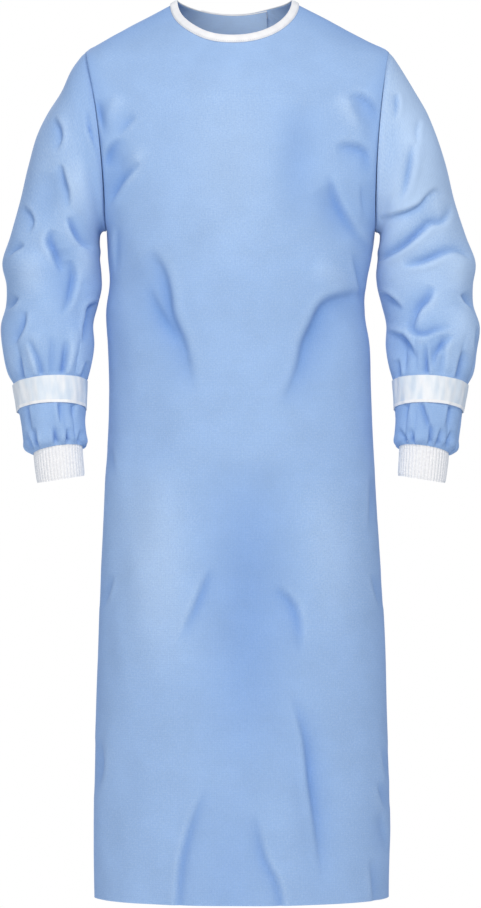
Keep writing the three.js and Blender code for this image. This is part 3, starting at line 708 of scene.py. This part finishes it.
def shell_mesh(name, thickness, closed, points, normals, press=None):
    """A mesh of a grid with an outer and an inner layer, and each face's row in the grid."""
    rows, columns = points.shape[:2]
    width = columns + closed
    layers = [(points + normals * face * thickness / 2).reshape(-1, 3) for face in (1, -1)]
    row, column = np.mgrid[0:rows, 0:width]
    outer_vertex = (row * columns + column % columns).ravel()
    vertex = np.concatenate([outer_vertex, outer_vertex + rows * columns])
    ring = np.concatenate([points, points[:, :1]], axis=1) if closed else points
    across, down = stations(np.moveaxis(ring, 1, 0)), stations(points)
    place = np.stack([across[column].ravel(), down[row].ravel()], axis=-1) * MM
    place = np.concatenate([place, place])
    outer = row * width + column
    inner = outer + rows * width
    strips = [outer, inner[::-1], np.stack([inner[0], outer[0]]), np.stack([outer[-1], inner[-1]])]
    if not closed:
        strips += [np.stack([outer[:, 0], inner[:, 0]]), np.stack([inner[:, -1], outer[:, -1]])]
    corners = [np.stack([s[:-1, :-1], s[:-1, 1:], s[1:, 1:], s[1:, :-1]], axis=-1) for s in strips]
    corners = np.concatenate([c.reshape(-1, 4) for c in corners])
    mesh = bpy.data.meshes.new(name)
    mesh.from_pydata((np.concatenate(layers) * MM).tolist(), [], vertex[corners].tolist(), shade_flat=False)
    mesh.uv_layers.new(name="cloth").uv.foreach_set("vector", place[corners].astype(np.float32).ravel())
    mesh.set_sharp_from_angle(angle=np.radians(EDGE_ANGLE))
    # The painted shading goes onto the mesh as "hollow", and its inner layer is marked for the paler
    # painted-light colour
    if press is not None:
        for attribute, layer in (("hollow", (press, press)), ("wrong_side", (press * 0, press * 0 + 1))):
            values = np.stack(layer).astype(np.float32).ravel()
            mesh.attributes.new(attribute, "FLOAT", "POINT").data.foreach_set("value", values)
    return mesh, (corners[:, 0] % (rows * width)) // width


def add_cloth(name, node, grid, thickness, closed, materials, material_rows=None):
    """Adds a piece of cloth that stands for a node of the solid model."""
    mesh, face_rows = shell_mesh(name, thickness, closed, *grid)
    for material in materials:
        mesh.materials.append(material)
    if material_rows is not None:
        mesh.polygons.foreach_set("material_index", material_rows(face_rows).astype(np.int32))
    piece = bpy.data.objects.new(name, mesh)
    bpy.context.scene.collection.objects.link(piece)
    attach(piece, "root")
    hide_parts(node)
    return piece


def set_inputs(tree, node, inputs):
    """Gives inputs of a shader node a value or a link each."""
    for socket, value in inputs.items():
        if isinstance(value, bpy.types.NodeSocket):
            tree.links.new(value, node.inputs[socket])
        else:
            node.inputs[socket].default_value = value


def add_node(tree, kind, inputs, **settings):
    """Adds a shader node with its settings and inputs."""
    node = tree.nodes.new("ShaderNode" + kind)
    for name, value in settings.items():
        setattr(node, name, value)
    set_inputs(tree, node, inputs)
    return node


def new_material(name):
    """An empty material's node tree, its surface shader and its cloth coordinates in metres."""
    material = bpy.data.materials.new(name)
    material.use_nodes = True
    tree = material.node_tree
    shader = tree.nodes["Principled BSDF"]
    place = add_node(tree, "TexCoord", {}).outputs["UV"]
    return material, tree, shader, place


def wave_scale(pitch):
    """The scale that repeats Blender's wave texture every so many millimetres."""
    return 2 * np.pi / (20 * pitch * MM)


def noise_scale(size):
    """The scale that gives a noise texture patches of about so many millimetres."""
    return 1 / (size * MM)


MIX_FACTOR, MIX_A, MIX_B, MIX_RESULT = 0, 6, 7, 2  # the sockets of a Mix node that mixes colours


def woven_poly_cotton(colour, painted_highlight, painted_shade, wrong_side):
    """Dyed plain-weave cotton and polyester cloth."""
    # Washed plain weave: a matt face with a faint thread grid and slubs along the threads, cloudy and specked
    # dye, and a soft bloom at glancing angles. Painted shade darkens the colour in the creases, along the
    # seams and towards a sleeve's end, painted highlight makes it paler on ridges and puffs, and the inner
    # face is painted paler as painted light. The threads are 0.35 mm apart, too fine for the render, so they
    # are drawn at 3 mm, and the specks that single threads make in the dye at 2.4 mm
    material, tree, shader, place = new_material("woven_poly_cotton")
    threads = [
        add_node(tree, "TexWave", {"Vector": place, "Scale": wave_scale(3), "Distortion": 0.6, "Detail": 1,
                                   "Detail Scale": 1.5}, bands_direction=way).outputs["Fac"]
        for way in ("X", "Y")
    ]
    weave = add_node(tree, "Math", {0: threads[0], 1: threads[1]}, operation="MULTIPLY").outputs[0]
    streaks = add_node(tree, "Mapping", {"Vector": place, "Scale": (noise_scale(3), noise_scale(7), 1)})
    slub = add_node(tree, "TexNoise", {"Vector": streaks.outputs[0], "Scale": 1, "Detail": 3}).outputs["Fac"]
    clouds = add_node(tree, "TexNoise", {"Vector": place, "Scale": noise_scale(70), "Detail": 4,
                                         "Roughness": 0.6}).outputs["Fac"]
    # The painted shade and highlight that the mesh carries as "hollow"
    hollow = add_node(tree, "Attribute", {}, attribute_name="hollow").outputs["Fac"]
    specks = add_node(tree, "TexNoise", {"Vector": place, "Scale": noise_scale(2.4),
                                         "Detail": 2}).outputs["Fac"]
    shade_and_specks = add_node(tree, "Math", {0: specks, 1: SPECK_DYE, 2: hollow}, operation="MULTIPLY_ADD").outputs[0]
    sunk = add_node(tree, "MapRange", {"Value": shade_and_specks, "From Min": SHADING_DEPTHS[0],
                                       "From Max": SHADING_DEPTHS[1]}).outputs[0]
    # The ramp paints a paler highlight, the cloth's own colour and a darker blue shade
    dyed_with_painted_shade = add_node(tree, "ValToRGB", {"Fac": sunk})
    dyed_with_painted_shade.color_ramp.elements.new(PLAIN_DYE)
    for stop, tint in zip(dyed_with_painted_shade.color_ramp.elements, (painted_highlight, colour, painted_shade)):
        stop.color = (*tint, 1)
    cloud = add_node(tree, "MapRange", {"Value": clouds, "From Min": 0.3, "From Max": 0.7, "To Min": 0.95,
                                        "To Max": 1.04}).outputs[0]
    tone = add_node(tree, "MapRange", {"Value": weave, "To Min": 0.98, "To Max": 1.02}).outputs[0]
    streak = add_node(tree, "MapRange", {"Value": slub, "From Min": 0.3, "From Max": 0.7, "To Min": 0.985,
                                         "To Max": 1.015}).outputs[0]
    fine = add_node(tree, "Math", {0: tone, 1: streak}, operation="MULTIPLY").outputs[0]
    shade = add_node(tree, "Math", {0: fine, 1: cloud}, operation="MULTIPLY").outputs[0]
    # The inner layer takes the paler painted-light colour
    inside = add_node(tree, "Attribute", {}, attribute_name="wrong_side").outputs["Fac"]
    sided = add_node(tree, "Mix", {MIX_FACTOR: inside, MIX_A: dyed_with_painted_shade.outputs["Color"], MIX_B: (*wrong_side, 1)},
                     data_type="RGBA")
    shaded = add_node(tree, "Mix", {MIX_FACTOR: 1.0, MIX_A: sided.outputs[MIX_RESULT], MIX_B: shade},
                      data_type="RGBA", blend_type="MULTIPLY")
    rough = add_node(tree, "MapRange", {"Value": slub, "To Min": 0.78, "To Max": 0.92}).outputs[0]
    crumple = add_node(tree, "TexNoise", {"Vector": place, "Scale": noise_scale(26),
                                          "Detail": 3}).outputs["Fac"]
    soft = add_node(tree, "Bump", {"Height": crumple, "Strength": 0.35, "Distance": 1.6 * MM}).outputs[0]
    bump = add_node(tree, "Bump", {"Height": weave, "Strength": 0.35, "Distance": 0.3 * MM, "Normal": soft})
    set_inputs(tree, shader, {"Base Color": shaded.outputs[MIX_RESULT], "Roughness": rough,
                              "Normal": bump.outputs[0], "IOR": 1.53, "Specular IOR Level": 0.25,
                              "Sheen Weight": 0.08, "Sheen Roughness": 0.5})
    return material


def polyester_satin(colour, shadow):
    """Pale satin-weave polyester tape."""
    # Satin weave: long floats run round the band. Its soft broken highlights and the bluish shade between
    # them are painted into the colour, in long patches that also set the roughness. The floats are 0.2 mm
    # apart and are drawn at 2.4 mm
    material, tree, shader, place = new_material("polyester_satin")
    floats = add_node(tree, "TexWave", {"Vector": place, "Scale": wave_scale(2.4), "Distortion": 1.2},
                      bands_direction="Y").outputs["Fac"]
    stretched = add_node(tree, "Mapping", {"Vector": place, "Scale": (noise_scale(16), noise_scale(55), 1)})
    patches = add_node(tree, "TexNoise", {"Vector": stretched.outputs[0], "Scale": 1,
                                          "Detail": 2}).outputs["Fac"]
    share = add_node(tree, "MapRange", {"Value": patches, "From Min": 0.38, "From Max": 0.6}).outputs[0]
    # Painted highlight and painted bluish shade, mixed by the patches
    tint = add_node(tree, "Mix", {MIX_FACTOR: share, MIX_A: (*shadow, 1), MIX_B: (*colour, 1)},
                    data_type="RGBA")
    rough = add_node(tree, "MapRange", {"Value": patches, "To Min": 0.34, "To Max": 0.5}).outputs[0]
    bump = add_node(tree, "Bump", {"Height": floats, "Strength": 0.25, "Distance": 0.2 * MM})
    set_inputs(tree, shader, {"Base Color": tint.outputs[MIX_RESULT], "Roughness": rough,
                              "Normal": bump.outputs[0], "IOR": 1.57})
    return material


def cotton_tape(name, colour, shadow, stitch_line):
    """White cotton tape, sewn on along a line at some distance from its edge."""
    # Folded bleached cotton: matt, with a slanting bias weave and a dimpled row of stitches near the edge,
    # whose dimples carry painted shade.
    # The bias lines are 0.5 mm apart and are drawn at 2 mm, the stitches are 3 mm long
    material, tree, shader, place = new_material(name)
    slanted = add_node(tree, "Mapping", {"Vector": place, "Rotation": (0, 0, np.radians(45))})
    bias = add_node(tree, "TexWave", {"Vector": slanted.outputs[0], "Scale": wave_scale(2)},
                    bands_direction="X").outputs["Fac"]
    apart = add_node(tree, "SeparateXYZ", {"Vector": place})
    stitches = add_node(tree, "TexWave", {"Vector": place, "Scale": wave_scale(3)}, bands_direction="X")
    aside = add_node(tree, "Math", {0: apart.outputs["Y"], 1: stitch_line * MM, 2: 0.7 * MM},
                     operation="COMPARE")
    dimple = add_node(tree, "Math", {0: aside.outputs[0], 1: stitches.outputs["Fac"]}, operation="MULTIPLY")
    soil = add_node(tree, "TexNoise", {"Vector": place, "Scale": noise_scale(14), "Detail": 3}).outputs["Fac"]
    dulled = add_node(tree, "MapRange", {"Value": soil, "From Min": 0.3, "From Max": 0.7, "To Max": 0.35})
    # Painted shade in the stitch dimples, over patches of soil
    factor = add_node(tree, "Math", {0: dimple.outputs[0], 1: 0.45, 2: dulled.outputs[0]},
                      operation="MULTIPLY_ADD")
    tint = add_node(tree, "Mix", {MIX_FACTOR: factor.outputs[0], MIX_A: (*colour, 1), MIX_B: (*shadow, 1)},
                    data_type="RGBA")
    woven = add_node(tree, "Bump", {"Height": bias, "Strength": 0.25, "Distance": 0.2 * MM}).outputs[0]
    bump = add_node(tree, "Bump", {"Height": dimple.outputs[0], "Strength": 0.5, "Distance": 0.4 * MM,
                                   "Normal": woven}, invert=True)
    set_inputs(tree, shader, {"Base Color": tint.outputs[MIX_RESULT], "Normal": bump.outputs[0],
                              "Roughness": 0.88, "IOR": 1.53, "Specular IOR Level": 0.3})
    return material


def rib_knit_cotton(colour, shadow, ribs, girth):
    """White rib-knit cotton."""
    # Bleached rib knit: soft upright ribs of stacked loops with shade between them, and a light fuzz. The
    # loops are 1.2 mm high and are drawn at 2.8 mm
    material, tree, shader, place = new_material("rib_knit_cotton")
    pitch = girth / ribs
    rib = add_node(tree, "TexWave", {"Vector": place, "Scale": wave_scale(pitch)}, bands_direction="X",
                   wave_profile="SIN").outputs["Fac"]
    loops = add_node(tree, "TexWave", {"Vector": place, "Scale": wave_scale(2.8), "Distortion": 1.5,
                                       "Detail": 1, "Detail Scale": 2.0}, bands_direction="Y").outputs["Fac"]
    fuzz = add_node(tree, "TexNoise", {"Vector": place, "Scale": noise_scale(3), "Detail": 3}).outputs["Fac"]
    worn = add_node(tree, "MapRange", {"Value": fuzz, "From Min": 0.3, "From Max": 0.75,
                                       "To Max": 0.5}).outputs[0]
    tint = add_node(tree, "Mix", {MIX_FACTOR: worn, MIX_A: (*colour, 1), MIX_B: (*shadow, 1)},
                    data_type="RGBA")
    knit = add_node(tree, "Bump", {"Height": loops, "Strength": 0.4, "Distance": 0.4 * MM}).outputs[0]
    ridge = add_node(tree, "Bump", {"Height": rib, "Strength": 0.15, "Distance": 0.4 * MM,
                                    "Normal": knit}).outputs[0]
    bump = add_node(tree, "Bump", {"Height": fuzz, "Strength": 0.25, "Distance": 0.3 * MM, "Normal": ridge})
    set_inputs(tree, shader, {"Base Color": tint.outputs[MIX_RESULT], "Normal": bump.outputs[0],
                              "Roughness": 0.95, "IOR": 1.53, "Specular IOR Level": 0.2,
                              "Sheen Weight": 0.15})
    return material


def studio_paper(colour):
    """Matt seamless background paper."""
    # Uncoated white paper: matt, with a barely visible cloudy fibre
    material, tree, shader, _ = new_material("studio_paper")
    place = add_node(tree, "TexCoord", {}).outputs["Object"]
    fibre = add_node(tree, "TexNoise", {"Vector": place, "Scale": noise_scale(40),
                                        "Detail": 3}).outputs["Fac"]
    dull = tuple(c * 0.97 for c in colour)
    tint = add_node(tree, "Mix", {MIX_FACTOR: fibre, MIX_A: (*dull, 1), MIX_B: (*colour, 1)},
                    data_type="RGBA")
    set_inputs(tree, shader, {"Base Color": tint.outputs[MIX_RESULT], "Roughness": 0.95,
                              "Specular IOR Level": 0.1})
    return material


class GownCloth(PropertyGroup):
    """The blue cloth."""

    colour: FloatVectorProperty(
        name="Colour", description="Colour of the dyed cloth", subtype="COLOR", default=linear("#9fbee6")
    )
    # A painted highlight: the cloth's colour on its ridges
    painted_highlight: FloatVectorProperty(
        name="Rubbed colour", description="Colour of the cloth on its ridges", subtype="COLOR",
        default=linear("#b9d2f0")
    )
    # A painted shade: the cloth's colour in its creases, along its seams and towards a sleeve's end
    painted_shade: FloatVectorProperty(
        name="Deep colour", description="Colour of the cloth in its creases", subtype="COLOR",
        default=linear("#789fd8")
    )
    # Painted light: the inner face's colour, paler than the outer face's so that it reads lit where it lies
    # in shade
    wrong_side: FloatVectorProperty(
        name="Wrong side", description="Colour of the cloth's inner face, which takes less dye",
        subtype="COLOR", default=linear("#bcdaff")
    )
    thickness: FloatProperty(
        name="Thickness", description="Thickness of the cloth", unit="LENGTH", default=1.2 * MM
    )
    creases: FloatProperty(
        name="Creases", description="Depth of the creases, as a share of their full depth", subtype="FACTOR",
        default=1.0, min=0, max=1
    )
    gathers: IntProperty(
        name="Gathers", description="Gathers round a sleeve, above its band and above its cuff",
        default=11, min=3
    )


class GownTrim(PropertyGroup):
    """The bands, cuffs and neck binding."""

    white: FloatVectorProperty(
        name="White", description="Colour of the binding and the cuffs", subtype="COLOR",
        default=linear("#faf9f7")
    )
    # Soil dulls the tape and the cuffs to this colour, and the tape's stitch dimples take it as painted shade
    soiled_and_shaded_white: FloatVectorProperty(
        name="Dulled white", description="Colour of the white cloth where it is dulled", subtype="COLOR",
        default=linear("#d9dade")
    )
    # The pale tone of the bands' painted highlights; the satin shade is the painted shade between them
    satin: FloatVectorProperty(
        name="Satin", description="Colour of the sleeve bands", subtype="COLOR", default=linear("#f1f3f3")
    )
    satin_shadow: FloatVectorProperty(
        name="Satin shade", description="Colour between the bands' highlights", subtype="COLOR",
        default=linear("#dae5ee")
    )
    tape: FloatProperty(
        name="Tape", description="Thickness of the bands and the binding", unit="LENGTH", default=1.2 * MM
    )
    knit: FloatProperty(
        name="Knit", description="Thickness of the cuffs between their ribs", unit="LENGTH", default=1.6 * MM
    )
    ribs: IntProperty(name="Ribs", description="Ribs round a cuff", default=40, min=8)
    rib_height: FloatProperty(
        name="Rib height", description="Height of a cuff's ribs", unit="LENGTH", default=1.1 * MM
    )
    girth: FloatProperty(
        name="Cuff girth", description="Length round a cuff", unit="LENGTH", default=209 * MM
    )
    edge_rows: IntProperty(
        name="Edge", description="Rows of a band's grid that its white lower edge takes", default=2, min=0
    )


class GownStudio(PropertyGroup):
    """The floor, the light and the camera."""

    paper: FloatVectorProperty(
        name="Paper", description="Colour of the floor", subtype="COLOR", default=linear("#f7f7f6")
    )
    floor: FloatProperty(
        name="Floor", description="Height of the floor, below the worn gown's hem", unit="LENGTH",
        default=-1.5
    )
    floor_side: FloatProperty(
        name="Floor side", description="Length and width of the floor", unit="LENGTH", default=4.0
    )
    distance: FloatProperty(
        name="Distance", description="Distance of the camera from the gown's middle", unit="LENGTH",
        default=6.7
    )
    eye: FloatProperty(name="Eye", description="Height of the camera", unit="LENGTH", default=-0.634)
    view: FloatProperty(
        name="View", description="Height of what the camera takes in at the gown's middle", unit="LENGTH",
        default=1.271
    )
    aim: FloatProperty(name="Aim", description="Height that the lights point at", unit="LENGTH", default=-0.4)
    sky: FloatVectorProperty(
        name="Sky", description="Colour of the light from all round", subtype="COLOR",
        default=linear("#9aa7ba")
    )
    key_colour: FloatVectorProperty(
        name="Key colour", description="Colour of the main light", subtype="COLOR", default=linear("#fff6ea")
    )
    key: FloatProperty(name="Key", description="Power of the main light", unit="POWER", default=74)
    fill: FloatProperty(name="Fill", description="Power of the light from the left", unit="POWER", default=45)
    back: FloatProperty(name="Back", description="Power of the light from behind", unit="POWER", default=60)


class GOWN_OT_panels(Operator):
    """Make the front and the two lapped back panels, and the binding round the neck"""

    bl_idname = "gown.panels"
    bl_label = "Panels and binding"

    def execute(self, context):
        cloth, trim = context.scene.gown_cloth, context.scene.gown_trim
        blue = [woven_poly_cotton(*map(tuple, (cloth.colour, cloth.painted_highlight, cloth.painted_shade, cloth.wrong_side)))]
        thickness = cloth.thickness / MM
        front = front_panel(cloth.creases)
        left, right = (back_panel(side, cloth.creases) for side in SIDES)
        add_cloth("front_cloth", "front_panel", front, thickness, False, blue)
        for side, grid in zip(SIDES, (left, right)):
            add_cloth(f"back_cloth_{side}", f"back_{side}", grid,
                      thickness, False, blue)
        tape = [cotton_tape("cotton_bias_tape", tuple(trim.white), tuple(trim.soiled_and_shaded_white), 2)]
        binding = binding_points((left, front, right), thickness)
        add_cloth("neck_tape", "neck_binding", binding,
                  trim.tape / MM, False, tape)
        return {"FINISHED"}


class GOWN_OT_sleeves(Operator):
    """Make the two sleeves, gathered into their bands and cuffs"""

    bl_idname = "gown.sleeves"
    bl_label = "Sleeves"

    def execute(self, context):
        cloth = context.scene.gown_cloth
        blue = [bpy.data.materials["woven_poly_cotton"]]
        for side in SIDES:
            grid = creased_sleeve(side, cloth.gathers, cloth.creases)
            add_cloth(f"sleeve_cloth_{side}", f"sleeve_{side}", grid,
                      cloth.thickness / MM, True, blue)
        return {"FINISHED"}


class GOWN_OT_bands(Operator):
    """Make the satin band round each sleeve"""

    bl_idname = "gown.bands"
    bl_label = "Sleeve bands"

    def execute(self, context):
        cloth, trim = context.scene.gown_cloth, context.scene.gown_trim
        satin = polyester_satin(tuple(trim.satin), tuple(trim.satin_shadow))
        edge = cotton_tape("cotton_edge_tape", tuple(trim.white), tuple(trim.soiled_and_shaded_white), 0)
        lift = (cloth.thickness + trim.tape) / 2 / MM + LAY_GAP
        for side in SIDES:
            grid = band_points(side, lift)
            add_cloth(f"band_tape_{side}", f"sleeve_band_{side}", grid,
                      trim.tape / MM, True, [satin, edge],
                      lambda rows: rows >= BAND_GRID[0] - trim.edge_rows)
        return {"FINISHED"}


class GOWN_OT_cuffs(Operator):
    """Make the ribbed cuffs"""

    bl_idname = "gown.cuffs"
    bl_label = "Cuffs"

    def execute(self, context):
        trim = context.scene.gown_trim
        knit = [rib_knit_cotton(tuple(trim.white), tuple(trim.soiled_and_shaded_white), trim.ribs, trim.girth / MM)]
        for side in SIDES:
            grid = cuff_points(side, trim.ribs, trim.rib_height / MM)
            add_cloth(f"cuff_knit_{side}", f"cuff_{side}", grid,
                      trim.knit / MM, True, knit)
        return {"FINISHED"}


class GOWN_OT_studio(Operator):
    """Make the pale floor and backdrop, the soft light and the camera"""

    bl_idname = "gown.studio"
    bl_label = "Studio"

    def execute(self, context):
        scene, studio = context.scene, context.scene.gown_studio
        half = studio.floor_side / 2
        mesh = bpy.data.meshes.new("studio_floor")
        corners = [(-half, -half), (half, -half), (half, half), (-half, half)]
        mesh.from_pydata([(x, y, studio.floor) for x, y in corners], [], [(0, 1, 2, 3)])
        mesh.materials.append(studio_paper(tuple(studio.paper)))
        floor = bpy.data.objects.new("studio_floor", mesh)
        scene.collection.objects.link(floor)

        world = bpy.data.worlds.new("studio_sky")
        world.use_nodes = True
        tree = world.node_tree
        ray = add_node(tree, "LightPath", {}).outputs["Is Camera Ray"]
        shown = add_node(tree, "Mix", {MIX_FACTOR: ray, MIX_A: (*studio.sky, 1), MIX_B: (1, 1, 1, 1)},
                         data_type="RGBA")
        background = tree.nodes["Background"]
        tree.links.new(shown.outputs[MIX_RESULT], background.inputs["Color"])
        scene.world = world

        aim = Vector((0, 0, studio.aim))
        for name, (power, place, size) in LAMPS.items():
            light = bpy.data.lights.new(name, "AREA")
            light.size = size
            light.energy = getattr(studio, power)
            light.color = studio.key_colour
            lamp = bpy.data.objects.new(name, light)
            lamp.location = place
            lamp.rotation_euler = (aim - lamp.location).to_track_quat("-Z", "Y").to_euler()
            scene.collection.objects.link(lamp)

        camera = bpy.data.cameras.new("camera")
        camera.sensor_fit = "VERTICAL"
        camera.lens = camera.sensor_height * studio.distance / studio.view
        eye = bpy.data.objects.new("camera", camera)
        eye.location = (0, -studio.distance, studio.eye)
        eye.rotation_euler = (np.pi / 2, 0, 0)
        scene.collection.objects.link(eye)
        scene.camera = eye
        scene.view_settings.view_transform = "Standard"
        return {"FINISHED"}


class GOWN_PT_dresser(Panel):
    """Lists the steps and settings of the gown"""

    bl_idname = "GOWN_PT_dresser"
    bl_label = "Surgical gown"
    bl_space_type = "VIEW_3D"
    bl_region_type = "UI"
    bl_category = "Gown"

    def draw(self, context):
        for group in GROUPS:
            settings = getattr(context.scene, group)
            box = self.layout.box()
            for name in settings.__annotations__:
                box.prop(settings, name)
        for step in STEPS:
            self.layout.operator(step.bl_idname)


GROUPS = {"gown_cloth": GownCloth, "gown_trim": GownTrim, "gown_studio": GownStudio}
STEPS = (GOWN_OT_panels, GOWN_OT_sleeves, GOWN_OT_bands, GOWN_OT_cuffs, GOWN_OT_studio)
CLASSES = (*GROUPS.values(), *STEPS, GOWN_PT_dresser)


def register():
    for kind in CLASSES:
        bpy.utils.register_class(kind)
    for name, kind in GROUPS.items():
        setattr(bpy.types.Scene, name, PointerProperty(type=kind))


def unregister():
    for name in GROUPS:
        delattr(bpy.types.Scene, name)
    for kind in reversed(CLASSES):
        bpy.utils.unregister_class(kind)


def main():
    register()
    bpy.ops.gown.panels()
    bpy.ops.gown.sleeves()
    bpy.ops.gown.bands()
    bpy.ops.gown.cuffs()
    bpy.ops.gown.studio()


if __name__ == "__main__":
    main()
